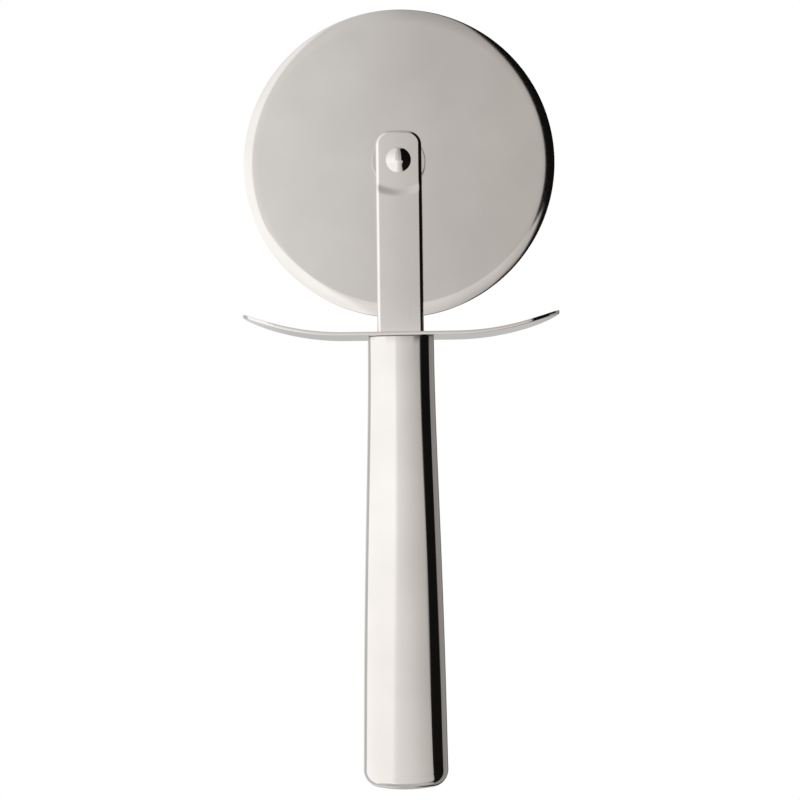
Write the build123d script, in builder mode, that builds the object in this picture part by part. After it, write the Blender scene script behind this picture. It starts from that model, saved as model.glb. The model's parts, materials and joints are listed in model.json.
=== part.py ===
# Pizza cutter wheel: a thin steel wheel that spins on a riveted axle between the
# two arms of a fork. The arms stand on a bowed finger guard, and their tangs go
# through it into a hollow steel handle, where a cast filler holds them.
#
# All lengths are in millimetres. Z runs along the handle, up to the wheel. The
# front faces -Y, and the wheel turns about Y. The origin is the middle of the
# handle's axis, where a hand holds it.

import os
from math import hypot, sqrt

from build123d import *

# Wheel
wheel_diameter = 90.0
wheel_thickness = 1.0
grind_width = 4.0  # width of the convex ground band at the rim
cutting_edge_thickness = 0.12

# Axle, bush and spacers
axle_diameter = 4.0
bush_diameter = 7.0
bush_chamfer = 0.15
spacer_diameter = 15.4
spacer_thickness = 2.1
rivet_head_diameter = 7.2
rivet_rim_height = 0.3  # straight rim below the dome
rivet_dome_height = 1.1
spigot_diameter = 2.4  # rear end of the axle, pressed into the rear cap
spigot_length = 0.8

# Fork arms
arm_width = 13.2
arm_thickness = 1.8
arm_tip_above_axle = 8.7
arm_tip_crown = 0.6  # how far the tip's middle stands above its corners
arm_corner_radius = 3.4
arm_edge_radius = 1.1  # rounding of the outer edges
joggle_radius = 9.4  # middle of the round step, measured from the axle
joggle_run = 2.0  # width of the step's slope
joggle_step = 0.5  # how far the lower arm stands out past the tip
tang_width = 8.0
tang_length = 62.0  # below the guard's top face

# Rivets that space the two tangs inside the handle
tang_spacer_diameter = 6.0
tang_spacer_end_diameter = 3.0
upper_spacer_below_mouth = 18.0
lower_spacer_below_mouth = 46.0

# Guard: a sheet with round ends, flat in the middle, with its ends curved up
guard_width = 91.2
guard_depth = 18.4
guard_sheet = 1.0
guard_flat_width = 32.0
guard_end_rise = 6.3

# Handle: two pressed half shells. Its cross section has its most rounded faces at the
# mouth, and they get flatter towards the butt. The crown is the large radius of the
# front and back, and a height share is a share of the handle's length.
handle_length = 128.2
handle_wall = 0.8
mouth_width = 18.95
mouth_depth = 15.0
mouth_crown = 30.0
mouth_corner = 4.5
neck_height_share = 0.84
neck_width = 19.4
neck_depth = 15.1
neck_crown = 31.0
neck_corner = 4.7
middle_height_share = 0.5
middle_width = 21.75
middle_depth = 16.2
middle_crown = 42.0
middle_corner = 4.9
swell_height_share = 0.15
swell_width = 23.5
swell_depth = 17.2
swell_crown = 60.0
swell_corner = 5.0
butt_width = 24.0
butt_depth = 17.5
butt_crown = 66.0
butt_corner = 4.7
butt_dome_radius = 44.0
butt_edge_radius = 3.8

# Gaps that show
wheel_above_guard = 4.75  # between the wheel's edge and the guard's top face
filler_below_mouth = 1.0

# Clearances
running_clearance = 0.05  # radial, between the axle and what turns on it
side_clearance = 0.1  # between the turning wheel and what stands beside it
fixed_clearance = 0.02  # between pieces that are pressed or cast together
spacer_clearance = 0.3  # radial, between the turning bush and the spacers
overrun = 1.0  # how far cutting shapes run past what they cut

# Heights along Z, worked out
mouth_z = handle_length / 2
butt_z = -handle_length / 2
guard_top_z = mouth_z + guard_sheet
axle_z = guard_top_z + wheel_above_guard + wheel_diameter / 2
arm_tip_z = axle_z + arm_tip_above_axle
tang_end_z = guard_top_z - tang_length

# Distances from the wheel's middle plane along Y, worked out
wheel_face = wheel_thickness / 2
spacer_inner = wheel_face + side_clearance
tip_inner = spacer_inner + spacer_thickness
tip_outer = tip_inner + arm_thickness
arm_inner = tip_inner + joggle_step
arm_outer = tip_outer + joggle_step

axle_axis = Axis((0, 0, axle_z), (0, 1, 0))
# Turned shapes are drawn on this plane as distance from the axle and place along it.
turning_plane = Plane(origin=(0, 0, axle_z), x_dir=(1, 0, 0), z_dir=(0, 0, 1))

os.makedirs("parts", exist_ok=True)


# Wheel: a flat disc whose rim is ground convex from both sides
wheel_radius = wheel_diameter / 2
grind_start_radius = wheel_radius - grind_width
edge_half = cutting_edge_thickness / 2
wheel_bore_radius = bush_diameter / 2 + fixed_clearance

with BuildPart() as blade_disc:
    with BuildSketch(turning_plane):
        with BuildLine():
            Line((wheel_bore_radius, wheel_face), (grind_start_radius, wheel_face))
            TangentArc((grind_start_radius, wheel_face), (wheel_radius, edge_half), tangent=(1, 0))
            Line((wheel_radius, edge_half), (wheel_radius, -edge_half))
            TangentArc((grind_start_radius, -wheel_face), (wheel_radius, -edge_half), tangent=(1, 0))
            Line((grind_start_radius, -wheel_face), (wheel_bore_radius, -wheel_face))
            Line((wheel_bore_radius, -wheel_face), (wheel_bore_radius, wheel_face))
        make_face()
    revolve(axis=axle_axis)
blade_disc.part.label = "blade_disc"
export_step(blade_disc.part, "parts/blade_disc.step")


def ring(outer_diameter, bore_diameter, from_y, to_y):
    """A turned ring around the axle, between two places along it."""
    with BuildPart() as turned:
        with BuildSketch(turning_plane):
            with BuildLine():
                Polyline(
                    (bore_diameter / 2, from_y),
                    (outer_diameter / 2, from_y),
                    (outer_diameter / 2, to_y),
                    (bore_diameter / 2, to_y),
                    close=True,
                )
            make_face()
        revolve(axis=axle_axis)
    return turned.part


# Bush: pressed into the wheel, it turns on the axle and keeps the wheel upright
bush_half_length = tip_inner - side_clearance
bush_bore_diameter = axle_diameter + 2 * running_clearance

with BuildPart() as hub_bush:
    add(ring(bush_diameter, bush_bore_diameter, -bush_half_length, bush_half_length))
    chamfer(hub_bush.edges().filter_by(GeomType.CIRCLE), length=bush_chamfer)
hub_bush.part.label = "hub_bush"
export_step(hub_bush.part, "parts/hub_bush.step")


# Spacers: one ring on each side fills the space between the wheel and its arm
spacer_bore_diameter = bush_diameter + 2 * spacer_clearance

with BuildPart() as front_spacer:
    add(ring(spacer_diameter, spacer_bore_diameter, -tip_inner, -spacer_inner))
front_spacer.part.label = "front_spacer"
export_step(front_spacer.part, "parts/front_spacer.step")

with BuildPart() as rear_spacer:
    add(ring(spacer_diameter, spacer_bore_diameter, spacer_inner, tip_inner))
rear_spacer.part.label = "rear_spacer"
export_step(rear_spacer.part, "parts/rear_spacer.step")


# Axle rivet: domed front head, shank through both arms, and a thinner rear spigot
rivet_head_radius = rivet_head_diameter / 2
axle_radius = axle_diameter / 2
spigot_radius = spigot_diameter / 2
rivet_rim_y = tip_outer + rivet_rim_height
rivet_top_y = rivet_rim_y + rivet_dome_height
spigot_end_y = tip_outer + spigot_length

with BuildPart() as axle_rivet:
    with BuildSketch(turning_plane):
        with BuildLine():
            TangentArc((0, -rivet_top_y), (rivet_head_radius, -rivet_rim_y), tangent=(1, 0))
            Polyline(
                (rivet_head_radius, -rivet_rim_y),
                (rivet_head_radius, -tip_outer),
                (axle_radius, -tip_outer),
                (axle_radius, tip_outer),
                (spigot_radius, tip_outer),
                (spigot_radius, spigot_end_y),
                (0, spigot_end_y),
                (0, -rivet_top_y),
            )
        make_face()
    revolve(axis=axle_axis)
axle_rivet.part.label = "axle_rivet"
export_step(axle_rivet.part, "parts/axle_rivet.step")


# Rear cap: the same dome, pressed over the axle's spigot
cap_bore_radius = spigot_radius + fixed_clearance
cap_bore_end_y = spigot_end_y + fixed_clearance

with BuildPart() as rear_rivet_cap:
    with BuildSketch(turning_plane):
        with BuildLine():
            TangentArc((0, rivet_top_y), (rivet_head_radius, rivet_rim_y), tangent=(1, 0))
            Polyline(
                (rivet_head_radius, rivet_rim_y),
                (rivet_head_radius, tip_outer),
                (cap_bore_radius, tip_outer),
                (cap_bore_radius, cap_bore_end_y),
                (0, cap_bore_end_y),
                (0, rivet_top_y),
            )
        make_face()
    revolve(axis=axle_axis)
rear_rivet_cap.part.label = "rear_rivet_cap"
export_step(rear_rivet_cap.part, "parts/rear_rivet_cap.step")


# Fork arms: the outline is cut from a plate that steps in towards the wheel around
# the axle, so the step is round and has the axle as its centre
arm_half = arm_width / 2
tip_corner_z = arm_tip_z - arm_tip_crown
step_start_radius = joggle_radius - joggle_run / 2
step_end_radius = joggle_radius + joggle_run / 2
plate_radius = hypot(axle_z - tang_end_z, arm_width)
axle_hole_radius = axle_radius + fixed_clearance
tang_hole_radius = tang_spacer_end_diameter / 2 + fixed_clearance
outer_edge_limit_y = -(arm_inner + tip_outer) / 2
wall_normal_limit = 0.1
spacer_rows_z = [mouth_z - upper_spacer_below_mouth, mouth_z - lower_spacer_below_mouth]

with BuildPart() as stepped_plate:
    with BuildSketch(turning_plane):
        with BuildLine():
            Polyline(
                (0, -tip_inner),
                (step_start_radius, -tip_inner),
                (step_end_radius, -arm_inner),
                (plate_radius, -arm_inner),
                (plate_radius, -arm_outer),
                (step_end_radius, -arm_outer),
                (step_start_radius, -tip_outer),
                (0, -tip_outer),
                close=True,
            )
        make_face()
    revolve(axis=axle_axis)
    split(bisect_by=Plane.XY.offset(axle_z), keep=Keep.BOTTOM)
    with BuildSketch(Plane.XY.offset(axle_z)):
        with Locations((0, -tip_inner)):
            Rectangle(arm_width, arm_thickness, align=(Align.CENTER, Align.MAX))
    extrude(amount=arm_tip_above_axle)

with BuildPart() as front_arm:
    with BuildSketch(Plane.XZ):
        with BuildLine():
            Line((-arm_half, guard_top_z), (-arm_half, tip_corner_z))
            ThreePointArc((-arm_half, tip_corner_z), (0, arm_tip_z), (arm_half, tip_corner_z))
            Line((arm_half, tip_corner_z), (arm_half, guard_top_z))
            Line((arm_half, guard_top_z), (-arm_half, guard_top_z))
        arm_face = make_face()
        fillet(arm_face.vertices().group_by(Axis.Y)[-1], radius=arm_corner_radius)
        with Locations((0, guard_top_z)):
            Rectangle(tang_width, tang_length, align=(Align.CENTER, Align.MAX))
    extrude(amount=arm_outer + overrun)
    add(stepped_plate.part, mode=Mode.INTERSECT)
    outline_walls = front_arm.faces().filter_by(
        lambda face: abs(face.normal_at().Y) < wall_normal_limit and face.center().Z > guard_top_z
    )
    outer_edges = outline_walls.edges().filter_by(
        lambda edge: edge.center().Y < outer_edge_limit_y and edge.bounding_box().size.Y < arm_thickness / 2
    )
    fillet([edge for edge in outer_edges if edge.center().Z > guard_top_z], radius=arm_edge_radius)
    with BuildSketch(Plane.XZ):
        with Locations((0, axle_z)):
            Circle(axle_hole_radius)
        with Locations([(0, row_z) for row_z in spacer_rows_z]):
            Circle(tang_hole_radius)
    extrude(amount=arm_outer + overrun, mode=Mode.SUBTRACT)
front_arm.part.label = "front_arm"
export_step(front_arm.part, "parts/front_arm.step")

with BuildPart() as rear_arm:
    mirror(front_arm.part, about=Plane.XZ)
rear_arm.part.label = "rear_arm"
export_step(rear_arm.part, "parts/rear_arm.step")


# Tang spacers: shouldered rivets that hold the two tangs apart inside the handle
with BuildPart() as tang_spacers:
    with BuildSketch(Plane.XZ):
        with Locations([(0, row_z) for row_z in spacer_rows_z]):
            Circle(tang_spacer_diameter / 2)
    extrude(amount=arm_inner, both=True)
    with BuildSketch(Plane.XZ):
        with Locations([(0, row_z) for row_z in spacer_rows_z]):
            Circle(tang_spacer_end_diameter / 2)
    extrude(amount=arm_outer, both=True)
tang_spacers.part.label = "tang_spacers"
export_step(tang_spacers.part, "parts/tang_spacers.step")


# Guard: a bowed strip, trimmed to round ends, with a slot for each tang
guard_half = guard_width / 2
guard_flat_half = guard_flat_width / 2
guard_end_z = mouth_z + guard_end_rise
guard_end_radius = guard_depth / 2
end_centre_x = guard_half - guard_end_radius
slot_y = (arm_inner + arm_outer) / 2

with BuildPart() as guard:
    with BuildSketch(Plane.XZ):
        with BuildLine():
            TangentArc((-guard_flat_half, mouth_z), (-guard_half, guard_end_z), tangent=(-1, 0))
            Line((-guard_flat_half, mouth_z), (guard_flat_half, mouth_z))
            TangentArc((guard_flat_half, mouth_z), (guard_half, guard_end_z), tangent=(1, 0))
            offset(amount=guard_sheet, side=Side.RIGHT)
        make_face()
    extrude(amount=guard_depth, both=True)
    with BuildSketch(Plane.XY.offset(mouth_z - overrun)):
        Rectangle(2 * end_centre_x, guard_depth)
        with Locations((-end_centre_x, 0), (end_centre_x, 0)):
            Circle(guard_end_radius)
    extrude(amount=guard_end_rise + guard_sheet + 2 * overrun, mode=Mode.INTERSECT)
    with BuildSketch(Plane.XY.offset(mouth_z - overrun)):
        with Locations((0, -slot_y), (0, slot_y)):
            Rectangle(tang_width + 2 * fixed_clearance, arm_thickness + 2 * fixed_clearance)
    extrude(amount=guard_sheet + 2 * overrun, mode=Mode.SUBTRACT)
guard.part.label = "guard"
export_step(guard.part, "parts/guard.step")


# Handle: a hollow form with gently crowned faces that swells towards a domed butt
handle_sections = [
    (0, butt_width, butt_depth, butt_crown, butt_corner),
    (swell_height_share, swell_width, swell_depth, swell_crown, swell_corner),
    (middle_height_share, middle_width, middle_depth, middle_crown, middle_corner),
    (neck_height_share, neck_width, neck_depth, neck_crown, neck_corner),
    (1, mouth_width, mouth_depth, mouth_crown, mouth_corner),
]


def section_face(height_share, width, depth, crown, corner, inset):
    """One cross section, shrunk by the inset: crowned front and back, straight sides, round corners."""
    section_z = butt_z + height_share * handle_length
    half_width = width / 2 - inset
    half_depth = depth / 2 - inset
    corner_radius = corner - inset
    crown_radius = crown - inset
    crown_centre = half_depth - crown_radius
    corner_x = half_width - corner_radius
    corner_y = crown_centre + sqrt((crown_radius - corner_radius) ** 2 - corner_x**2)
    reach = crown_radius / (crown_radius - corner_radius)
    meet_x = corner_x * reach
    meet_y = crown_centre + (corner_y - crown_centre) * reach
    with BuildSketch(Plane.XY.offset(section_z)) as section:
        with BuildLine():
            ThreePointArc((-meet_x, meet_y), (0, half_depth), (meet_x, meet_y))
            TangentArc((half_width, corner_y), (meet_x, meet_y), tangent=(0, 1))
            Line((half_width, corner_y), (half_width, -corner_y))
            TangentArc((half_width, -corner_y), (meet_x, -meet_y), tangent=(0, -1))
            ThreePointArc((meet_x, -meet_y), (0, -half_depth), (-meet_x, -meet_y))
            TangentArc((-half_width, -corner_y), (-meet_x, -meet_y), tangent=(0, -1))
            Line((-half_width, -corner_y), (-half_width, corner_y))
            TangentArc((-half_width, corner_y), (-meet_x, meet_y), tangent=(0, 1))
        make_face()
    return section.sketch


def handle_form(inset):
    """The whole handle as one solid, shrunk by the inset except at its open mouth."""
    floor_z = butt_z + inset
    dome_radius = butt_dome_radius - inset
    dome_edge_x = butt_width / 2 + overrun
    dome_edge_z = floor_z + dome_radius - sqrt(dome_radius**2 - dome_edge_x**2)
    with BuildPart() as form:
        loft(sections=[section_face(*row, inset) for row in handle_sections])
        with BuildSketch(Plane.XZ):
            with BuildLine():
                TangentArc((0, floor_z), (dome_edge_x, dome_edge_z), tangent=(1, 0))
                Polyline(
                    (dome_edge_x, dome_edge_z),
                    (dome_edge_x, butt_z - overrun),
                    (0, butt_z - overrun),
                    (0, floor_z),
                )
            make_face()
        revolve(axis=Axis.Z, mode=Mode.SUBTRACT)
        fillet(form.faces().sort_by(Axis.Z)[0].edges(), radius=butt_edge_radius - inset)
    return form.part


# Half shells: the outer form less the hollow, parted along the middle plane
handle_outer = handle_form(0)
handle_hollow = handle_form(handle_wall)

with BuildPart() as handle_front_shell:
    add(handle_outer)
    add(handle_hollow, mode=Mode.SUBTRACT)
    split(bisect_by=Plane.XZ, keep=Keep.TOP)
handle_front_shell.part.label = "handle_front_shell"
export_step(handle_front_shell.part, "parts/handle_front_shell.step")

with BuildPart() as handle_rear_shell:
    add(handle_outer)
    add(handle_hollow, mode=Mode.SUBTRACT)
    split(bisect_by=Plane.XZ, keep=Keep.BOTTOM)
handle_rear_shell.part.label = "handle_rear_shell"
export_step(handle_rear_shell.part, "parts/handle_rear_shell.step")


# Filler: cast inside the shells round the tangs and their spacers
filler_top_z = mouth_z - filler_below_mouth
tang_pocket_width = tang_width + 2 * fixed_clearance
tang_pocket_thickness = arm_thickness + 2 * fixed_clearance

with BuildPart() as handle_filler:
    add(handle_form(handle_wall + fixed_clearance))
    with BuildSketch(Plane.XY.offset(filler_top_z)):
        Rectangle(mouth_width, mouth_depth)
    extrude(amount=filler_below_mouth + overrun, mode=Mode.SUBTRACT)
    with BuildSketch(Plane.XY.offset(tang_end_z - fixed_clearance)):
        with Locations((0, -slot_y), (0, slot_y)):
            Rectangle(tang_pocket_width, tang_pocket_thickness)
    extrude(until=Until.LAST, mode=Mode.SUBTRACT)
    with BuildSketch(Plane.XZ):
        with Locations([(0, row_z) for row_z in spacer_rows_z]):
            Circle(tang_spacer_diameter / 2 + fixed_clearance)
    extrude(amount=arm_inner, both=True, mode=Mode.SUBTRACT)
handle_filler.part.label = "handle_filler"
export_step(handle_filler.part, "parts/handle_filler.step")
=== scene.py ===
# %% [markdown]
# # Pizza cutter wheel
# The real tool is all polished stainless steel: a thin wheel between two fork arms, a bowed
# finger guard and a hollow handle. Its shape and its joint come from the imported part, which
# stays a fixed frame here. This lesson rebuilds each piece that shows with smooth surfaces,
# because a mirror finish shows every facet, and then gives it a studio to reflect.

import json
from math import asin, atan2, cos, hypot, pi, radians, sin, sqrt

import bpy
from mathutils import Matrix, Vector


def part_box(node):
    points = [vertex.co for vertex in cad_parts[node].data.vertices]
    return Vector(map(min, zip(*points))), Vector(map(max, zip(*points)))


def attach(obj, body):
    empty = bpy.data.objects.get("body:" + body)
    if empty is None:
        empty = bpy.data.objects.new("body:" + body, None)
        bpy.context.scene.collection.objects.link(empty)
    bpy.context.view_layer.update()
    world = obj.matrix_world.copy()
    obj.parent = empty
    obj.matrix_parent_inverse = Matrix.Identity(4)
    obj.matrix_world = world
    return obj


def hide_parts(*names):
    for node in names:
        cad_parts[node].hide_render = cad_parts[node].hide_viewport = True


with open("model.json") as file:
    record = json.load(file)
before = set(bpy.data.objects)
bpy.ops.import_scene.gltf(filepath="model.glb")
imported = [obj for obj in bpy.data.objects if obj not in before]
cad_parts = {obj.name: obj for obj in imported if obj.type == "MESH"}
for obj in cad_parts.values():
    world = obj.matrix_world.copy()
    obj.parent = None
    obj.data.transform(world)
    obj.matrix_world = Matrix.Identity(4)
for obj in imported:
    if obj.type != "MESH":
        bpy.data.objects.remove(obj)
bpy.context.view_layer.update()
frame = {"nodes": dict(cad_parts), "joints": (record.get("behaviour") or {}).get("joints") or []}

# %% [markdown]
# ## Places
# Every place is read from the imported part, so the looks follow it when its sizes change. The
# wheel turns about the Y axis through the axle, the handle runs along Z, and the front faces -Y.

# %% Places worked out from the frame
mm = 0.001
axle = Vector(frame["joints"][0]["pos_m"])
wheel_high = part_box("blade_disc")[1]
wheel_radius = wheel_high.x
wheel_face = wheel_high.y
spacer_low, spacer_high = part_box("rear_spacer")
spacer_radius = spacer_high.x
arm_low, arm_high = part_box("rear_arm")
arm_half = arm_high.x
arm_tip_z = arm_high.z
tang_end_z = arm_low.z
guard_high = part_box("guard")[1]
guard_half = guard_high.x
guard_half_depth = guard_high.y
guard_sheet = 1.0 * mm
shell_low, shell_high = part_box("handle_rear_shell")
mouth_z = shell_high.z
butt_z = shell_low.z
rivet_low, rivet_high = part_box("axle_rivet")
rivet_radius = rivet_high.x
print(f"axle {axle.z / mm:.2f} mm up, wheel radius {wheel_radius / mm:.2f} mm")
print(f"handle from {butt_z / mm:.2f} to {mouth_z / mm:.2f} mm")

# %% [markdown]
# ## Tools for modelling
# A turned piece, such as a wheel or a rivet, is one outline spun round an axis. The outline is
# drawn by merging a plane to a single point and extruding that point from place to place. The
# other helpers select by place, apply a modifier, and finish a piece: smooth shading, a
# material, and the body of the part that the piece rides on.


# %% Helper: draw an outline by extruding a point
def start_point(name, place):
    """A new mesh of one vertex, left in edit mode."""
    bpy.ops.object.select_all(action="DESELECT")
    bpy.ops.mesh.primitive_plane_add(size=mm, location=place)
    piece = bpy.context.object
    piece.name = name
    bpy.ops.object.transform_apply(location=True, rotation=True, scale=True)
    bpy.ops.object.mode_set(mode="EDIT")
    bpy.ops.mesh.select_mode(type="VERT")
    bpy.ops.mesh.select_all(action="SELECT")
    bpy.ops.mesh.merge(type="CENTER")
    return piece


def draw_outline(name, places):
    """A chain of edges through the places, left in edit mode with its last point selected."""
    piece = start_point(name, places[0])
    for here, there in zip(places, places[1:]):
        step = Vector(there) - Vector(here)
        bpy.ops.mesh.extrude_region_move(TRANSFORM_OT_translate={"value": step})
    return piece


# %% Helper: spin an outline round the axle
merge_distance = 0.001 * mm
near = 0.01 * mm


def close_up():
    """Merges doubled points and turns all faces outwards."""
    bpy.ops.mesh.select_all(action="SELECT")
    bpy.ops.mesh.remove_doubles(threshold=merge_distance)
    bpy.ops.mesh.normals_make_consistent(inside=False)


def turn_piece(name, profile, steps):
    """Spins a profile of (distance from the axle, place along Y) once round the axle."""
    places = [(axle.x + distance, along, axle.z) for distance, along in profile]
    piece = draw_outline(name, places)
    bpy.ops.mesh.select_all(action="SELECT")
    bpy.ops.mesh.spin(steps=steps, angle=2 * pi, center=axle, axis=(0, 1, 0))
    close_up()
    bpy.ops.object.mode_set(mode="OBJECT")
    return piece


# %% Helper: an arc between two directions, as profile points
def arc_points(centre, radius, from_angle, to_angle, count):
    """Points on a circle, first and last included. Angles are in radians."""
    angles = [from_angle + (to_angle - from_angle) * step / count for step in range(count + 1)]
    return [(centre[0] + radius * cos(angle), centre[1] + radius * sin(angle)) for angle in angles]


# %% Helper: select by place, and work in edit mode
def select_vertices(piece, test):
    """Selects the vertices whose place passes the test. The piece is in edit mode."""
    bpy.ops.mesh.select_mode(type="VERT")
    bpy.ops.mesh.select_all(action="DESELECT")
    bpy.ops.object.mode_set(mode="OBJECT")
    for vertex in piece.data.vertices:
        vertex.select = test(vertex.co)
    bpy.ops.object.mode_set(mode="EDIT")


def select_edges(piece, test):
    """Selects the edges whose two end places pass the test. The piece is in edit mode."""
    bpy.ops.mesh.select_mode(type="EDGE")
    bpy.ops.mesh.select_all(action="DESELECT")
    bpy.ops.object.mode_set(mode="OBJECT")
    places = [vertex.co for vertex in piece.data.vertices]
    for edge in piece.data.edges:
        edge.select = test(*[places[index] for index in edge.vertices])
    bpy.ops.object.mode_set(mode="EDIT")


def select_faces(piece, test):
    """Selects the faces whose middle and normal pass the test. The piece is in edit mode."""
    bpy.ops.mesh.select_mode(type="FACE")
    bpy.ops.mesh.select_all(action="DESELECT")
    bpy.ops.object.mode_set(mode="OBJECT")
    for face in piece.data.polygons:
        face.select = test(face.center, face.normal)
    bpy.ops.object.mode_set(mode="EDIT")


def cut_away(point, outwards, fill=True):
    """Cuts all that lies beyond a plane off the piece in edit mode."""
    bpy.ops.mesh.select_all(action="SELECT")
    bpy.ops.mesh.bisect(plane_co=point, plane_no=outwards, use_fill=fill, clear_outer=True)


# %% Helper: push a piece along an axis by an amount that depends on the place
def push(piece, direction, amount_at):
    """Moves each vertex along X, Y or Z by amount_at(place), which is never negative."""
    amounts = [amount_at(vertex.co) for vertex in piece.data.vertices]
    reach = max(amounts)
    group = piece.vertex_groups.new(name="push")
    for vertex, amount in zip(piece.data.vertices, amounts):
        group.add([vertex.index], amount / reach, "REPLACE")
    bump = piece.modifiers.new("push", "DISPLACE")
    bump.direction = direction
    bump.mid_level = 0
    bump.strength = reach
    bump.vertex_group = group.name
    bpy.ops.object.modifier_apply(modifier=bump.name)
    piece.vertex_groups.clear()


# %% Helper: copy and mirror a piece to the other side of the middle plane
def mirror_to_rear(piece, name):
    """A copy with its own mesh, mirrored across the plane Y = 0."""
    bpy.ops.object.select_all(action="DESELECT")
    piece.select_set(True)
    bpy.context.view_layer.objects.active = piece
    bpy.ops.object.duplicate()
    copy = bpy.context.object
    copy.name = name
    bpy.ops.object.mode_set(mode="EDIT")
    bpy.ops.mesh.select_all(action="SELECT")
    bpy.ops.transform.resize(value=(1, -1, 1), center_override=(0, 0, 0))
    bpy.ops.mesh.normals_make_consistent(inside=False)
    bpy.ops.object.mode_set(mode="OBJECT")
    return copy


# %% Helpers: tell how a piece comes along, and finish it
smooth_angle = radians(32)


def tell(piece, done):
    """Prints what was done to a piece and how many faces it has now, in either mode."""
    piece.update_from_editmode()
    print(f"{piece.name}, {done}: {len(piece.data.polygons)} faces")


def finish_piece(piece, body, node, material):
    """Smooth shading, its material, the body that it rides on and the CAD node it stands for."""
    bpy.ops.object.select_all(action="DESELECT")
    piece.select_set(True)
    bpy.context.view_layer.objects.active = piece
    bpy.ops.object.shade_smooth_by_angle(angle=smooth_angle)
    flatten = piece.modifiers.new("keep flats flat", "WEIGHTED_NORMAL")
    flatten.keep_sharp = True
    flatten.weight = 100
    bpy.ops.object.modifier_apply(modifier=flatten.name)
    piece.data.materials.clear()
    piece.data.materials.append(material)
    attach(piece, body)
    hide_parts(node)
    size = [round(length / mm, 2) for length in piece.dimensions]
    print(f"{piece.name}: {len(piece.data.polygons)} faces, size {size} mm")


# %% [markdown]
# ## Polished steel
# Polished stainless steel is a slightly warm grey mirror. On the real tool a buffing wheel
# leaves hair-fine marks that run one way, faint patches where the polish is duller, and a
# surface that is never quite flat. A Principled shader gives the metal. Noise that is stretched
# along the buffing direction changes its roughness and its colour a little, and a wide, very
# low bump bends the reflections as real sheet does. Everything reads Object coordinates, so the
# pattern is fixed to the piece.


# %% Helper: a node, its settings and its links in one line
def add_node(tree, kind, settings=None, inputs=None):
    """Adds a shader node. An input's value is a number or colour, or another node's output."""
    node = tree.nodes.new(kind)
    for setting, value in (settings or {}).items():
        setattr(node, setting, value)
    for name, value in (inputs or {}).items():
        if isinstance(value, bpy.types.NodeSocket):
            tree.links.new(value, node.inputs[name])
        else:
            node.inputs[name].default_value = value
    return node


# %% Helpers: the nodes that come back most often, each by its output
def maths(tree, operation, *values):
    """The result of one sum. Each value is a number or another node's output."""
    inputs = dict(enumerate(values))
    return add_node(tree, "ShaderNodeMath", {"operation": operation}, inputs).outputs["Value"]


def noise(tree, place, scale, detail):
    """A noise pattern over a place."""
    inputs = {"Vector": place, "Scale": scale, "Detail": detail}
    return add_node(tree, "ShaderNodeTexNoise", {}, inputs).outputs["Fac"]


def map_range(tree, value, from_low, from_high, to_low, to_high):
    """Carries one range over to another and stops at its ends."""
    inputs = {"Value": value, "From Min": from_low, "From Max": from_high}
    inputs.update({"To Min": to_low, "To Max": to_high})
    return add_node(tree, "ShaderNodeMapRange", {}, inputs).outputs["Result"]


def spread(tree, pattern, low, high):
    """Spreads a noise's usual range, 0.3 to 0.7, over low to high."""
    return map_range(tree, pattern, 0.3, 0.7, low, high)


def mix_colours(tree, share, first, second):
    """A colour between two others. Each is a colour or another node's output."""
    inputs = {0: share, 6: first, 7: second}
    return add_node(tree, "ShaderNodeMix", {"data_type": "RGBA"}, inputs).outputs[2]


# %% Helper: a polished steel
def polished_steel(name, colour, marks_scale, roughness, wave_scale, wave_height):
    """Buffed steel. marks_scale holds how fine the marks are along X, Y and Z, per metre."""
    material = bpy.data.materials.new(name)
    material.use_nodes = True
    tree = material.node_tree
    shader = tree.nodes["Principled BSDF"]
    place = add_node(tree, "ShaderNodeTexCoord").outputs["Object"]
    stretched = add_node(tree, "ShaderNodeMapping", {}, {"Vector": place, "Scale": marks_scale})
    marks = noise(tree, stretched.outputs["Vector"], 1.0, 4.0)
    patches = noise(tree, place, 60.0, 2.0)
    waves = noise(tree, place, wave_scale, 0.0)
    dull_colour = [0.94 * channel for channel in colour]
    tint = mix_colours(tree, spread(tree, patches, 0.0, 1.0), [*colour, 1.0], [*dull_colour, 1.0])
    duller = spread(tree, marks, 0.8 * roughness, 1.25 * roughness)
    bump = add_node(tree, "ShaderNodeBump", {}, {"Height": waves, "Strength": 1.0, "Distance": wave_height})
    tree.links.new(tint, shader.inputs["Base Color"])
    tree.links.new(duller, shader.inputs["Roughness"])
    tree.links.new(bump.outputs["Normal"], shader.inputs["Normal"])
    shader.inputs["Metallic"].default_value = 1.0
    return material


# %% The steels of the tool
warm_steel = (0.70, 0.675, 0.65)
bright_steel = (0.73, 0.70, 0.67)
wheel_steel = polished_steel("wheel steel", warm_steel, (900, 900, 900), 0.075, 12.0, 0.02 * mm)
fork_steel = polished_steel("fork steel", bright_steel, (2500, 2500, 120), 0.075, 30.0, 0.01 * mm)
guard_steel = polished_steel("guard steel", warm_steel, (120, 2500, 2500), 0.08, 30.0, 0.01 * mm)
handle_steel = polished_steel("handle steel", warm_steel, (2500, 2500, 120), 0.07, 14.0, 0.03 * mm)
rivet_steel = polished_steel("rivet steel", warm_steel, (900, 900, 900), 0.07, 60.0, 0.002 * mm)
spacer_steel = polished_steel("spacer steel", (0.62, 0.60, 0.57), (400, 4000, 400), 0.13, 60.0, 0.002 * mm)
print("a steel has", len(wheel_steel.node_tree.nodes), "nodes")

# %% [markdown]
# ## Wheel
# The real wheel is a flat disc stamped from sheet, with a convex band ground at its rim from
# both sides. It could be a cylinder with a bevel, but the ground band is an arc that meets the
# flat face without a corner, so a profile is drawn once and spun: the flat stays a true mirror
# plane and only the band catches the light at the sides. Its last third of a millimetre is
# honed steeper, on a smaller arc, and gives the thin bright and dark lines along the edge.

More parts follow.
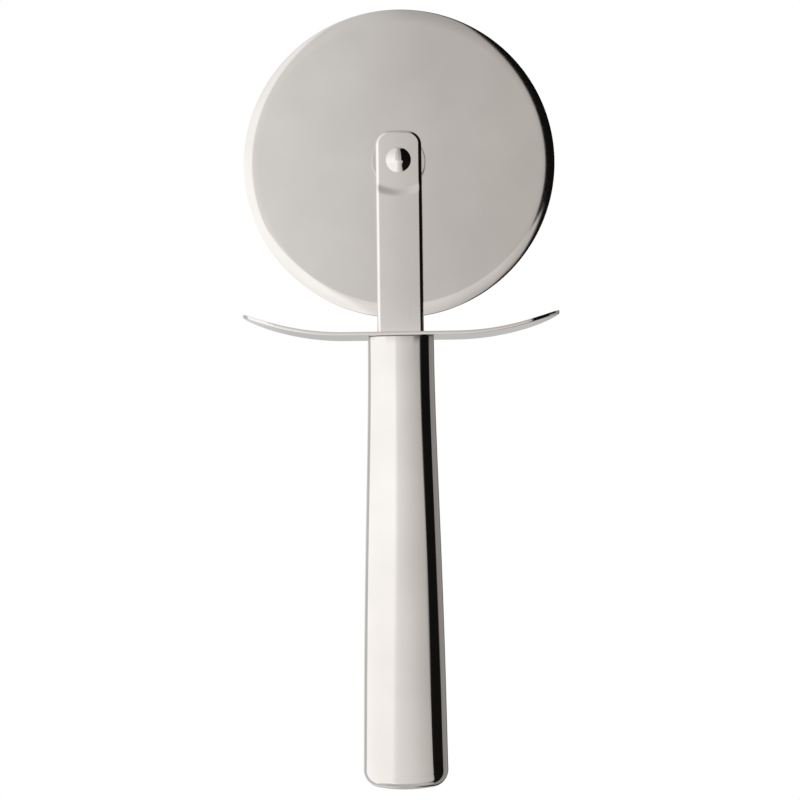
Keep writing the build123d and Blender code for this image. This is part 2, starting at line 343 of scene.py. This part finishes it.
# %% Profile of the wheel
grind_width = 4.0 * mm
cutting_edge = 0.12 * mm
hone_width = 0.33 * mm
hone_angle = radians(30)
bore_radius = 3.52 * mm
grind_start = wheel_radius - grind_width
grind_drop = wheel_face - cutting_edge / 2
grind_radius = (grind_width**2 + grind_drop**2) / (2 * grind_drop)
grind_angle = asin((grind_width - hone_width) / grind_radius)
grind_centre = (grind_start, wheel_face - grind_radius)
grind = arc_points(grind_centre, grind_radius, pi / 2, pi / 2 - grind_angle, 12)
hone_radius = hone_width / (sin(hone_angle) - sin(grind_angle))
between_centres = grind_radius - hone_radius
hone_centre = (
    grind_centre[0] + between_centres * sin(grind_angle),
    grind_centre[1] + between_centres * cos(grind_angle),
)
hone = arc_points(hone_centre, hone_radius, pi / 2 - grind_angle, pi / 2 - hone_angle, 6)
rear_half = [(bore_radius, wheel_face)] + grind + hone[1:]
print(f"the cutting edge is {2 * hone[-1][1] / mm:.3f} mm thick")
front_half = [(distance, -along) for distance, along in reversed(rear_half)]
wheel = turn_piece("wheel_disc", rear_half + front_half + rear_half[:1], 256)
finish_piece(wheel, "wheel", "blade_disc", wheel_steel)

# %% [markdown]
# ## Spacers
# On each side a turned ring fills the space between the wheel and its arm. Only its edge shows.
# It is spun like the wheel, with its two outer corners broken by a small flat, as a lathe
# leaves them.

# %% Two spacers
spacer_bore = 3.8 * mm
spacer_break = 0.15 * mm
spacer_inner = spacer_low.y
spacer_outer = spacer_high.y
spacer_profile = [
    (spacer_bore, spacer_inner),
    (spacer_radius - spacer_break, spacer_inner),
    (spacer_radius, spacer_inner + spacer_break),
    (spacer_radius, spacer_outer - spacer_break),
    (spacer_radius - spacer_break, spacer_outer),
    (spacer_bore, spacer_outer),
    (spacer_bore, spacer_inner),
]
rear_spacer = turn_piece("rear_spacer_ring", spacer_profile, 96)
front_spacer = mirror_to_rear(rear_spacer, "front_spacer_ring")
finish_piece(rear_spacer, "handle_and_fork", "rear_spacer", spacer_steel)
finish_piece(front_spacer, "handle_and_fork", "front_spacer", spacer_steel)

# %% [markdown]
# ## Axle rivet and its rear cap
# The rivet's head is a low dome, a part of a sphere, so it shows a bright and a dark crescent
# side by side. Its rim stands straight for a moment below the dome. Both heads are spun from the
# same profile. The front one goes on as a shank through the wheel, and the rear one is a cap with
# a blind hole.

# %% Profile of a rivet's head, from its middle outwards
head_top = -rivet_low.y
spigot_length = 0.8 * mm
head_seat = rivet_high.y - spigot_length
rim_height = 0.3 * mm
dome_height = head_top - head_seat - rim_height
dome_radius = (rivet_radius**2 + dome_height**2) / (2 * dome_height)
dome_angle = asin(rivet_radius / dome_radius)
dome = arc_points((0, head_top - dome_radius), dome_radius, pi / 2, pi / 2 - dome_angle, 20)
print(f"the head is a dome of radius {dome_radius / mm:.2f} mm")

# %% Front rivet with its shank
shank_radius = 2.0 * mm
spigot_radius = 1.2 * mm
front_dome = [(distance, -along) for distance, along in dome]
shank = [
    (rivet_radius, -head_seat),
    (shank_radius, -head_seat),
    (shank_radius, head_seat),
    (spigot_radius, head_seat),
    (spigot_radius, rivet_high.y),
    (0, rivet_high.y),
]
rivet = turn_piece("axle_rivet_turned", front_dome + shank, 128)
finish_piece(rivet, "handle_and_fork", "axle_rivet", rivet_steel)

# %% Rear cap
cap_bore = spigot_radius + 0.02 * mm
cap_bore_end = rivet_high.y + 0.02 * mm
cap_seat = [(rivet_radius, head_seat), (cap_bore, head_seat), (cap_bore, cap_bore_end), (0, cap_bore_end)]
rear_cap = turn_piece("rear_cap_turned", dome + cap_seat, 128)
finish_piece(rear_cap, "handle_and_fork", "rear_rivet_cap", rivet_steel)

# %% [markdown]
# ## Fork arms
# A real arm is cut from flat bar, its outer edges are rounded by tumbling and polishing, and a
# press then pushes its tip in towards the wheel. The step is part of a wide circle, so it reads
# as a smile below the rivet. The model goes the same way: the outline is drawn and filled,
# extruded, and inset in small steps along a quarter circle for the rounded edge. Cuts along and
# across give the face rows that can bend, the axle's hole is cut, and a push moves the tip in
# along a soft S. The polished face is left a hair crowned, as the real one is.

# %% Levels of the arm
arm_thickness = 1.8 * mm
tip_inner = head_seat - arm_thickness
arm_step = arm_high.y - head_seat
arm_inner = tip_inner + arm_step
edge_radius = 0.95 * mm
guard_top_z = mouth_z + guard_sheet
tang_half = 4.0 * mm
print(f"the arm starts {arm_inner / mm:.2f} mm from the middle, and its tip {tip_inner / mm:.2f} mm")

# %% The arm's outline, seen from the front
tip_crown = 0.9 * mm
corner_radius = 4.0 * mm
crown_radius = (arm_half**2 + tip_crown**2) / (2 * tip_crown)
crown_centre_z = arm_tip_z - crown_radius
corner_x = arm_half - corner_radius
corner_z = crown_centre_z + sqrt((crown_radius - corner_radius) ** 2 - corner_x**2)
meeting_angle = atan2(corner_z - crown_centre_z, corner_x)
below_guard = guard_top_z - 2 * edge_radius
corner_line = arc_points((corner_x, corner_z), corner_radius, 0, meeting_angle, 16)
crown_line = arc_points((0, crown_centre_z), crown_radius, meeting_angle, pi / 2, 6)
right_line = [(arm_half, below_guard)] + corner_line + crown_line[1:]
left_line = [(-across, height) for across, height in reversed(right_line)]
arm_line = right_line + left_line[1:]
front_arm = draw_outline("front_fork_arm", [(across, -arm_inner, height) for across, height in arm_line])
bpy.ops.mesh.select_all(action="SELECT")
bpy.ops.mesh.edge_face_add()
tell(front_arm, "its outline filled")

# %% Thickness, and the rounded edge by insets along a quarter circle
arm_edge_steps = 7
bpy.ops.mesh.select_mode(type="FACE")
bpy.ops.mesh.select_all(action="SELECT")
bpy.ops.mesh.extrude_region_move(TRANSFORM_OT_translate={"value": (0, edge_radius - arm_thickness, 0)})
close_up()
select_faces(front_arm, lambda middle, normal: normal.y < -0.9)
for step in range(arm_edge_steps):
    turn_from = pi / 2 * step / arm_edge_steps
    turn_to = pi / 2 * (step + 1) / arm_edge_steps
    bpy.ops.mesh.inset(
        thickness=edge_radius * (cos(turn_from) - cos(turn_to)),
        depth=edge_radius * (sin(turn_to) - sin(turn_from)),
        use_even_offset=True,
    )
close_up()
tell(front_arm, "thick, with rounded edges")

# %% Cut its foot square, then rows along and across
fine_row = 0.25 * mm
fine_column = 0.5 * mm
step_radius = 13.5 * mm
step_centre_z = axle.z + 4.1 * mm
step_run = 2.7 * mm
step_start = step_radius - step_run / 2
step_end = step_radius + step_run / 2
cut_away((0, 0, guard_top_z), (0, 0, -1))


def cut_across(piece_point, normal):
    """Cuts all faces of the piece in edit mode along a plane, and takes nothing away."""
    bpy.ops.mesh.select_all(action="SELECT")
    bpy.ops.mesh.bisect(plane_co=piece_point, plane_no=normal)


column_count = int(arm_half / fine_column)
for column in range(-column_count, column_count + 1):
    cut_across((column * fine_column, 0, 0), (1, 0, 0))
first_row = int(sqrt(step_start**2 - arm_half**2) / fine_row)
last_row = int(step_end / fine_row) + 1
for row in range(first_row, last_row + 1):
    cut_across((0, 0, step_centre_z - row * fine_row), (0, 0, 1))
close_up()
tell(front_arm, "cut into rows")

# %% Tang: the part of the foot between its two sides is drawn out into the handle
select_faces(front_arm, lambda middle, normal: normal.z < -0.9 and abs(middle.x) < tang_half)
bpy.ops.mesh.extrude_region_move(TRANSFORM_OT_translate={"value": (0, 0, tang_end_z - guard_top_z)})
close_up()
bpy.ops.object.mode_set(mode="OBJECT")
tell(front_arm, "its tang drawn out")

# %% The axle's hole
hole_radius = 2.02 * mm
bpy.ops.object.select_all(action="DESELECT")
bpy.ops.mesh.primitive_cylinder_add(
    vertices=48,
    radius=hole_radius,
    depth=4 * arm_thickness,
    location=(0, -arm_inner, axle.z),
    rotation=(pi / 2, 0, 0),
)
drill = bpy.context.object
bpy.ops.object.select_all(action="DESELECT")
front_arm.select_set(True)
bpy.context.view_layer.objects.active = front_arm
hole = front_arm.modifiers.new("hole", "BOOLEAN")
hole.object = drill
hole.solver = "EXACT"
bpy.ops.object.modifier_apply(modifier=hole.name)
bpy.data.objects.remove(drill)
tell(front_arm, "drilled")

# %% Press the tip in, and crown the face
face_crown_radius = 500 * mm
face_level = -(arm_inner + arm_thickness - edge_radius) + near


def tip_push(place):
    """How far the press has moved a place towards the wheel."""
    from_centre = hypot(place.x, place.z - step_centre_z) if place.z < step_centre_z else 0
    share = min(1, max(0, (from_centre - step_start) / step_run))
    return arm_step * (1 + cos(pi * share)) / 2


def face_push(place):
    """How far the crowned face falls away towards the arm's edges."""
    on_face = place.y < face_level
    return place.x**2 / (2 * face_crown_radius) if on_face else 0


push(front_arm, "Y", face_push)
push(front_arm, "Y", tip_push)
print(f"the step is {arm_step / mm:.2f} mm deep")

# %% The rear arm is the same arm, mirrored
rear_arm = mirror_to_rear(front_arm, "rear_fork_arm")
finish_piece(front_arm, "handle_and_fork", "front_arm", fork_steel)
finish_piece(rear_arm, "handle_and_fork", "rear_arm", fork_steel)

# %% [markdown]
# ## Finger guard
# The real guard is a strip of sheet steel with round ends that are bent up in an arc, and its
# cut edge is rounded by polishing. A circle gives the two round ends, cuts across it give the
# sheet rows that can bend, Solidify gives the thickness, Bevel rounds the edge, and a push
# along Z bends the ends. Bending last keeps the rim square to the sheet.

# %% The guard's outline: two half circles drawn apart
guard_flat_half = 16.0 * mm
guard_rise = guard_high.z - mouth_z - guard_sheet
end_centre_x = guard_half - guard_half_depth
bpy.ops.object.select_all(action="DESELECT")
middle = (0, 0, mouth_z)
bpy.ops.mesh.primitive_circle_add(vertices=96, radius=guard_half_depth, fill_type="NGON", location=middle)
guard = bpy.context.object
guard.name = "finger_guard"
bpy.ops.object.transform_apply(location=True, rotation=True, scale=True)
bpy.ops.object.mode_set(mode="EDIT")
bpy.ops.mesh.select_all(action="SELECT")
bpy.ops.mesh.bisect(plane_co=(0, 0, 0), plane_no=(1, 0, 0))
select_vertices(guard, lambda place: place.x > near)
bpy.ops.transform.translate(value=(end_centre_x, 0, 0))
select_vertices(guard, lambda place: place.x < -near)
bpy.ops.transform.translate(value=(-end_centre_x, 0, 0))
tell(guard, "its outline drawn")

# %% Cross rows for the bend, then thickness and a rounded rim
row_spacing = 1.2 * mm
row_count = int(guard_half / row_spacing)
for row in range(-row_count, row_count + 1):
    bpy.ops.mesh.select_all(action="SELECT")
    bpy.ops.mesh.bisect(plane_co=(row * row_spacing, 0, 0), plane_no=(1, 0, 0))
close_up()
bpy.ops.object.mode_set(mode="OBJECT")
thickness = guard.modifiers.new("thickness", "SOLIDIFY")
thickness.thickness = guard_sheet
thickness.offset = 1
bpy.ops.object.modifier_apply(modifier=thickness.name)
rim = guard.modifiers.new("rim", "BEVEL")
rim.width = 0.22 * mm
rim.segments = 3
rim.limit_method = "ANGLE"
rim.angle_limit = radians(60)
bpy.ops.object.modifier_apply(modifier=rim.name)
tell(guard, "thick and rounded")


# %% Bend the ends up
def guard_lift(place):
    """How far the arc has risen at a place."""
    beyond = max(0, abs(place.x) - guard_flat_half)
    return bend_radius - sqrt(bend_radius**2 - beyond**2)


bend_run = guard_half - guard_flat_half
bend_radius = (bend_run**2 + guard_rise**2) / (2 * guard_rise)
push(guard, "Z", guard_lift)
print(f"the guard bends on a radius of {bend_radius / mm:.1f} mm")
finish_piece(guard, "handle_and_fork", "guard", guard_steel)

# %% [markdown]
# ## Handle shells
# The real handle is two pressed half shells, welded and polished until the seam is a hairline.
# Its section is a soft rectangle, crowned front and back, and its faces get flatter towards the
# butt, which is what makes the bands of light and dark run as they do. So the section is drawn
# once at the mouth and extruded down in plain rings, and then each ring is given the section's
# own width, depth, crown and corner at its height. The butt's edge is part of the same rings,
# shrunk along a quarter circle. The butt is closed, pushed into a shallow dome, and the whole
# form gets its wall. A cut along the middle plane leaves one shell, and its mirror image is the
# other.

# %% Sizes of the handle at five heights
handle_length = mouth_z - butt_z
# height as a share of the length, width, depth, crown radius, corner radius
handle_sizes = [
    (0.0, 24.0 * mm, 17.5 * mm, 66.0 * mm, 4.7 * mm),
    (0.15, 23.5 * mm, 17.2 * mm, 60.0 * mm, 5.0 * mm),
    (0.5, 21.75 * mm, 16.2 * mm, 42.0 * mm, 4.9 * mm),
    (0.84, 19.4 * mm, 15.1 * mm, 31.0 * mm, 4.7 * mm),
    (1.0, 18.95 * mm, 15.0 * mm, 30.0 * mm, 4.5 * mm),
]


def handle_size(share, column):
    """The smooth curve through one column of the sizes, at a height share."""
    total = 0
    for row in handle_sizes:
        weight = 1
        for other in handle_sizes:
            if other is not row:
                weight *= (share - other[0]) / (row[0] - other[0])
        total += weight * row[column]
    return total


print(f"a quarter of the way up the handle is {handle_size(0.25, 1) / mm:.2f} mm wide")


# %% The section at any height, shrunk by an inset
crown_steps = 12
corner_steps = 14


def section_line(share, inset):
    """The closed outline of the handle at a height share, as places across and in depth."""
    width, depth, crown, corner = [handle_size(share, column) for column in range(1, 5)]
    half_width = width / 2 - inset
    corner_radius = corner - inset
    crown_radius = crown - inset
    corner_across = half_width - corner_radius
    crown_centre = depth / 2 - crown
    corner_depth = crown_centre + sqrt((crown_radius - corner_radius) ** 2 - corner_across**2)
    meeting = atan2(corner_depth - crown_centre, corner_across)
    crown_arc = arc_points((0, crown_centre), crown_radius, pi / 2, meeting, crown_steps)
    corner_arc = arc_points((corner_across, corner_depth), corner_radius, meeting, 0, corner_steps)
    side = [(half_width, corner_depth / 2), (half_width, 0)]
    quarter = crown_arc + corner_arc[1:] + side
    right_half = quarter + [(across, -along) for across, along in reversed(quarter[:-1])]
    left_half = [(-across, along) for across, along in reversed(right_half)]
    return right_half + left_half[1:]


mouth_line = section_line(1, 0)
print("points round the section:", len(mouth_line))

# %% Plain rings, extruded down from the mouth
ring_count = 44
butt_edge = 3.8 * mm
butt_edge_steps = 12
straight_end = butt_edge / handle_length
rings = [(1 - (1 - straight_end) * ring / ring_count, 0) for ring in range(ring_count + 1)]
for step in range(1, butt_edge_steps + 1):
    turn = pi / 2 * step / butt_edge_steps
    rings.append((straight_end * (1 - sin(turn)), butt_edge * (1 - cos(turn))))
shell = draw_outline("handle_front", [(across, along, mouth_z) for across, along in mouth_line])
bpy.ops.mesh.select_all(action="SELECT")
bpy.ops.mesh.remove_doubles(threshold=merge_distance)
for above, below in zip(rings, rings[1:]):
    drop = (above[0] - below[0]) * handle_length
    bpy.ops.mesh.extrude_region_move(TRANSFORM_OT_translate={"value": (0, 0, -drop)})
bpy.ops.object.mode_set(mode="OBJECT")
tell(shell, "its plain rings")

# %% Give each ring its own section
ring_lines = [section_line(share, inset) for share, inset in rings]


def nearest(values, wanted):
    """The place in a list of the value that is nearest to the wanted one."""
    return min(range(len(values)), key=lambda count: abs(values[count] - wanted))


def point_number(place):
    """Which point of the mouth's section a vertex was drawn out from."""
    gaps = [hypot(place.x - across, place.y - along) for across, along in mouth_line]
    return nearest(gaps, 0)


ring_shares = [share for share, inset in rings]
for vertex in shell.data.vertices:
    line = ring_lines[nearest(ring_shares, (vertex.co.z - butt_z) / handle_length)]
    vertex.co.x, vertex.co.y = line[point_number(vertex.co)]
print("handle:", [round(length / mm, 2) for length in shell.dimensions], "mm")

# %% Close the butt with smaller and smaller rings
floor_rings = 6
bpy.ops.object.mode_set(mode="EDIT")
select_vertices(shell, lambda place: place.z < butt_z + merge_distance)
for ring in range(floor_rings, 1, -1):
    bpy.ops.mesh.extrude_region_move(TRANSFORM_OT_translate={"value": (0, 0, 0)})
    bpy.ops.transform.resize(value=((ring - 1) / ring, (ring - 1) / ring, 1), center_override=(0, 0, butt_z))
bpy.ops.mesh.edge_face_add()
bpy.ops.mesh.poke()
close_up()
bpy.ops.object.mode_set(mode="OBJECT")
tell(shell, "closed")

# %% Dome the butt
butt_dome_radius = 44.0 * mm
edge_fade = 3.0 * mm


def butt_lift(place):
    """The dome's height over the butt's lowest point, fading out up the side."""
    above_edge = max(0, place.z - butt_z - butt_edge)
    from_axis = hypot(place.x, place.y)
    dome_rise = butt_dome_radius - sqrt(butt_dome_radius**2 - from_axis**2)
    return dome_rise * max(0, 1 - above_edge / edge_fade)


push(shell, "Z", butt_lift)
print(f"the butt's lowest point is at {min(vertex.co.z for vertex in shell.data.vertices) / mm:.2f} mm")

# %% Give it a wall, and part it along the middle plane
wall = shell.modifiers.new("wall", "SOLIDIFY")
wall.thickness = 0.8 * mm
wall.offset = -1
wall.use_even_offset = True
bpy.ops.object.modifier_apply(modifier=wall.name)
bpy.ops.object.mode_set(mode="EDIT")
cut_away((0, 0, 0), (0, 1, 0))
close_up()
tell(shell, "parted")

# %% Break the mouth's outer rim
rim_break = 0.3 * mm
rim_reach = 0.4 * mm


def outside_wall(place):
    """True for points of the mouth's rim that are nearer to its outer outline than to the hollow's."""
    gaps = [hypot(place.x - across, place.y - along) for across, along in mouth_line]
    return min(gaps) < rim_reach


def is_mouth_rim(start, end):
    """True for the edges that run round the mouth's outer outline."""
    at_mouth = abs(start.z - mouth_z) < near and abs(end.z - mouth_z) < near
    off_seam = start.y < -near or end.y < -near
    return at_mouth and off_seam and outside_wall(start) and outside_wall(end)


select_edges(shell, is_mouth_rim)
bpy.ops.mesh.bevel(offset=rim_break, segments=4, profile=0.5, affect="EDGES")
close_up()
bpy.ops.object.mode_set(mode="OBJECT")
tell(shell, "its rim broken")

# %% The other shell is its mirror image
rear_shell = mirror_to_rear(shell, "handle_rear")
finish_piece(shell, "handle_and_fork", "handle_front_shell", handle_steel)
finish_piece(rear_shell, "handle_and_fork", "handle_rear_shell", handle_steel)

# %% [markdown]
# ## Pieces inside
# The bush, the tangs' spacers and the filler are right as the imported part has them, and hardly
# show. They keep their solids and get a finish: turned brass, steel and a cast resin.


# %% Helper: a plain finish
def grained(name, colour, metallic, roughness, scale):
    """A plain finish with some grain in its colour, roughness and surface."""
    material = bpy.data.materials.new(name)
    material.use_nodes = True
    tree = material.node_tree
    shader = tree.nodes["Principled BSDF"]
    place = add_node(tree, "ShaderNodeTexCoord").outputs["Object"]
    grain = noise(tree, place, scale, 6.0)
    dark_colour = [0.8 * channel for channel in colour]
    tint = mix_colours(tree, spread(tree, grain, 0.0, 1.0), [*dark_colour, 1.0], [*colour, 1.0])
    duller = spread(tree, grain, 1.2 * roughness, 0.8 * roughness)
    bump = add_node(tree, "ShaderNodeBump", {}, {"Height": grain, "Strength": 0.4, "Distance": 0.05 * mm})
    tree.links.new(tint, shader.inputs["Base Color"])
    tree.links.new(duller, shader.inputs["Roughness"])
    tree.links.new(bump.outputs["Normal"], shader.inputs["Normal"])
    shader.inputs["Metallic"].default_value = metallic
    return material


# %% Finishes of the inner pieces
inner_finishes = {
    "hub_bush": grained("turned brass", (0.72, 0.56, 0.30), 1.0, 0.3, 3000.0),
    "tang_spacers": spacer_steel,
    "handle_filler": grained("cast filler", (0.62, 0.60, 0.56), 0.0, 0.8, 900.0),
}
for node, material in inner_finishes.items():
    mesh = frame["nodes"][node].data
    mesh.materials.clear()
    mesh.materials.append(material)
    print(node, "wears", material.name)

# %% [markdown]
# ## Studio
# A mirror shows its surroundings, so the surroundings are most of its look. The tool is
# photographed inside a round tent: a white softbox on the left, a black flag on the right, and
# grey between them behind the camera. The tent is a large sphere that only reflections see. Its
# glow depends on the direction, read from a radial gradient. The softbox and the flag stand
# slightly askew, so there are rows of values for three heights: the lower half of the handle,
# its upper half, and the wheel. Higher up the tent is dimmer, and near its top and its bottom it
# fades to one grey.

# %% The tent's glow behind the tool
tent_radius = 1.2
full_turn = 360.0
white = 1.38
# degrees to the right of the camera's side, brightness, and warmth
back_left = [
    (-180, 0.58, 0.5),
    (-171, 0.58, 0.5),
    (-167, 0.86, 0),
    (-142, 0.86, 0),
    (-138, 0.62, 0),
    (-108, 0.72, 0),
    (-107, white, 0),
]
back_right = [
    (148, 0.36, 1),
    (151, 0.05, 1),
    (168, 0.05, 1),
    (172, 0.58, 0.5),
    (180, 0.58, 0.5),
]
print(f"the tent is {2 * tent_radius} m across")

# %% The tent's glow at the height of the wheel, of the handle and of its lower half
wheel_glow = [
    *back_left,
    (-18.5, white, 0),
    (-17, 0.98, 0),
    (-9, 0.95, 0.2),
    (-5, 0.86, 0.3),
    (-3, 0.81, 0.4),
    (0, 0.71, 0.7),
    (4.5, 0.66, 1),
    (12.5, 0.60, 1),
    (14.5, 0.006, 1),
    (118, 0.006, 1),
    (120, 0.34, 1),
    *back_right,
]
handle_glow = [
    *back_left,
    (-7.5, white, 0),
    (-6.5, 1.05, 0.3),
    (-3, 1.00, 0.5),
    (3, 0.90, 0.7),
    (11, 0.77, 1),
    (20, 0.62, 1),
    (21.5, 0.008, 1),
    (85, 0.008, 1),
    (87, 0.34, 1),
    *back_right,
]
# the lower half of the handle
low_glow = [
    *back_left,
    (-7.8, 1.30, 0.5),
    (-6.8, 1.04, 0.3),
    (-3, 0.98, 0.5),
    (3, 0.88, 0.7),
    (10, 0.71, 1),
    (16.5, 0.56, 1),
    (18, 0.008, 1),
    (90, 0.008, 1),
    (92, 0.34, 1),
    *back_right,
]
warm_tint = (1, 0.96, 0.93)
print("glow stops:", len(wheel_glow), len(handle_glow), len(low_glow))

# %% Where the glow changes, and the tent itself
# heights are shares of the tent's radius
low_to_handle = (-0.12, 0.02)
handle_to_wheel = (0.138, 0.155)
# higher up, everything is dimmer
dimmer_between = (0.28, 0.90)
dimmest = 0.72
# low down, the softbox and the flag stand apart by this factor, but not behind the tool
apart_between = (-0.95, -0.30)
apart = 0.35
apart_turns = (0.12, 0.33)
# where the glow starts to fade, where all is grey, and how bright the grey is
fade_below = (-0.95, -0.98, 0.60)
fade_above = (0.93, 0.97, 0.58)
bpy.ops.object.select_all(action="DESELECT")
bpy.ops.mesh.primitive_uv_sphere_add(segments=96, ring_count=48, radius=tent_radius, location=(0, 0, 0))
tent = bpy.context.object
tent.name = "tent"
bpy.ops.object.shade_smooth()
tent.visible_camera = False
tent.visible_diffuse = False
tent.visible_transmission = False
tent.visible_shadow = False
print("the glow changes at shares of the tent's radius:", low_to_handle, handle_to_wheel)


# %% Helpers for the tent's material
def glow_ramp(tree, direction, rows):
    """A colour ramp round the tent, from rows of angle, brightness and warmth."""
    ramp = add_node(tree, "ShaderNodeValToRGB", {}, {"Fac": direction})
    stops = ramp.color_ramp.elements
    stops.remove(stops[0])
    for count, (angle, brightness, warmth) in enumerate(rows):
        position = 0.5 + angle / full_turn
        stop = stops[0] if count == 0 else stops.new(position)
        stop.position = position
        tint = [1 + (channel - 1) * warmth for channel in warm_tint]
        stop.color = (*[brightness / white * channel for channel in tint], 1)
    return ramp.outputs["Color"]


def grey(brightness):
    """A colour for the tent, whose strength is its white."""
    return [*[brightness / white] * 3, 1]


# %% The tent's material: direction and height
tent_material = bpy.data.materials.new("tent glow")
tent_material.use_nodes = True
tree = tent_material.node_tree
tree.nodes.clear()
place = add_node(tree, "ShaderNodeTexCoord").outputs["Object"]
height = add_node(tree, "ShaderNodeSeparateXYZ", {}, {"Vector": place}).outputs["Z"]
level = maths(tree, "DIVIDE", height, tent_radius)


def passed(start, end):
    """Goes from 0 to 1 between two heights of the tent."""
    return map_range(tree, level, start, end, 0.0, 1.0)


turned = add_node(tree, "ShaderNodeMapping", {}, {"Vector": place, "Rotation": (0, 0, radians(90))})
round_place = {"Vector": turned.outputs["Vector"]}
direction = add_node(tree, "ShaderNodeTexGradient", {"gradient_type": "RADIAL"}, round_place).outputs["Fac"]
from_middle = maths(tree, "SUBTRACT", direction, 0.5)
print("nodes for direction and height:", len(tree.nodes))

# %% The tent's material: glow
spreading = map_range(tree, level, *apart_between, apart, 1.0)
turns_away = maths(tree, "ABSOLUTE", from_middle)
spreading_here = map_range(tree, turns_away, *apart_turns, spreading, 1.0)
low_direction = maths(tree, "MULTIPLY_ADD", from_middle, spreading_here, 0.5)
low_colour = glow_ramp(tree, low_direction, low_glow)
handle_colour = glow_ramp(tree, direction, handle_glow)
wheel_colour = glow_ramp(tree, direction, wheel_glow)
glow = mix_colours(tree, passed(*low_to_handle), low_colour, handle_colour)
glow = mix_colours(tree, passed(*handle_to_wheel), glow, wheel_colour)
dimming = map_range(tree, level, *dimmer_between, 1.0, dimmest)
dimmed = add_node(tree, "ShaderNodeVectorMath", {"operation": "SCALE"}, {0: glow, "Scale": dimming})
glow = mix_colours(tree, passed(*fade_below[:2]), dimmed.outputs["Vector"], grey(fade_below[2]))
glow = mix_colours(tree, passed(*fade_above[:2]), glow, grey(fade_above[2]))
emission = add_node(tree, "ShaderNodeEmission", {}, {"Color": glow, "Strength": white})
add_node(tree, "ShaderNodeOutputMaterial", {}, {"Surface": emission.outputs["Emission"]})
tent.data.materials.append(tent_material)
print("nodes in all:", len(tree.nodes))

# %% The world: white where it is seen, soft where it lights
world = bpy.data.worlds.new("white sweep")
bpy.context.scene.world = world
world.use_nodes = True
tree = world.node_tree
tree.nodes.clear()
rays = add_node(tree, "ShaderNodeLightPath").outputs
seen = maths(tree, "MAXIMUM", rays["Is Camera Ray"], rays["Is Glossy Ray"])
seen = maths(tree, "MAXIMUM", seen, rays["Is Transmission Ray"])
soft_light = add_node(tree, "ShaderNodeBackground", {}, {"Color": (1.0, 0.99, 0.98, 1), "Strength": 0.8})
white_sweep = add_node(tree, "ShaderNodeBackground", {}, {"Color": (1, 1, 1, 1), "Strength": 1.0})
choice = add_node(tree, "ShaderNodeMixShader", {}, {"Fac": seen})
tree.links.new(soft_light.outputs["Background"], choice.inputs[1])
tree.links.new(white_sweep.outputs["Background"], choice.inputs[2])
add_node(tree, "ShaderNodeOutputWorld", {}, {"Surface": choice.outputs["Shader"]})
print("the world has", len(tree.nodes), "nodes")

# %% A pale floor, well below the tool, and one soft lamp over it
floor_z = -1.25
bpy.ops.object.select_all(action="DESELECT")
bpy.ops.mesh.primitive_circle_add(vertices=96, radius=1.4, fill_type="NGON", location=(0, 0, floor_z))
floor = bpy.context.object
floor.name = "floor"
bpy.ops.object.transform_apply(location=True, rotation=True, scale=True)
floor_material = bpy.data.materials.new("pale floor")
floor_material.use_nodes = True
paint = floor_material.node_tree.nodes["Principled BSDF"]
paint.inputs["Base Color"].default_value = (0.9, 0.9, 0.9, 1)
paint.inputs["Roughness"].default_value = 0.9
floor.data.materials.append(floor_material)
bpy.ops.object.light_add(type="AREA", location=(-0.25, -0.3, 1.0))
lamp = bpy.context.object
lamp.name = "top softbox"
lamp.rotation_euler = (Vector((0, 0, 0)) - lamp.location).to_track_quat("-Z", "Y").to_euler()
lamp.data.size = 0.5
lamp.visible_glossy = False
lamp.data.energy = 8.0
print(f"floor {floor_z} m down, lamp of {lamp.data.energy} W")

# %% [markdown]
# ## Camera
# The photograph looks slightly up at the tool, from a little to the right, from half a metre.
# A camera's axes are written as a matrix: its right, its up, and the direction from the tool
# back to the camera.

# %% Camera
image_width = 800
sensor_width = 36.0
focal_pixels = 1740.0
camera_distance = 500 * mm
camera_azimuth = radians(1.52)
camera_elevation = radians(-3.02)
camera_roll = radians(0.71)
camera_target = Vector((-0.505 * mm, 0, 46.13 * mm))
back = Vector(
    (
        sin(camera_azimuth) * cos(camera_elevation),
        -cos(camera_azimuth) * cos(camera_elevation),
        sin(camera_elevation),
    )
)
level_right = Vector((cos(camera_azimuth), sin(camera_azimuth), 0))
level_up = back.cross(level_right)
right = cos(camera_roll) * level_right - sin(camera_roll) * level_up
up = sin(camera_roll) * level_right + cos(camera_roll) * level_up
bpy.ops.object.camera_add()
camera = bpy.context.object
camera.data.sensor_width = sensor_width
camera.data.lens = focal_pixels / image_width * sensor_width
axes = Matrix((right, up, back)).transposed().to_4x4()
camera.matrix_world = Matrix.Translation(camera_target + camera_distance * back) @ axes
bpy.context.scene.camera = camera
bpy.context.scene.view_settings.view_transform = "Standard"
print(f"lens {camera.data.lens:.1f} mm at {[round(value, 4) for value in camera.location]}")
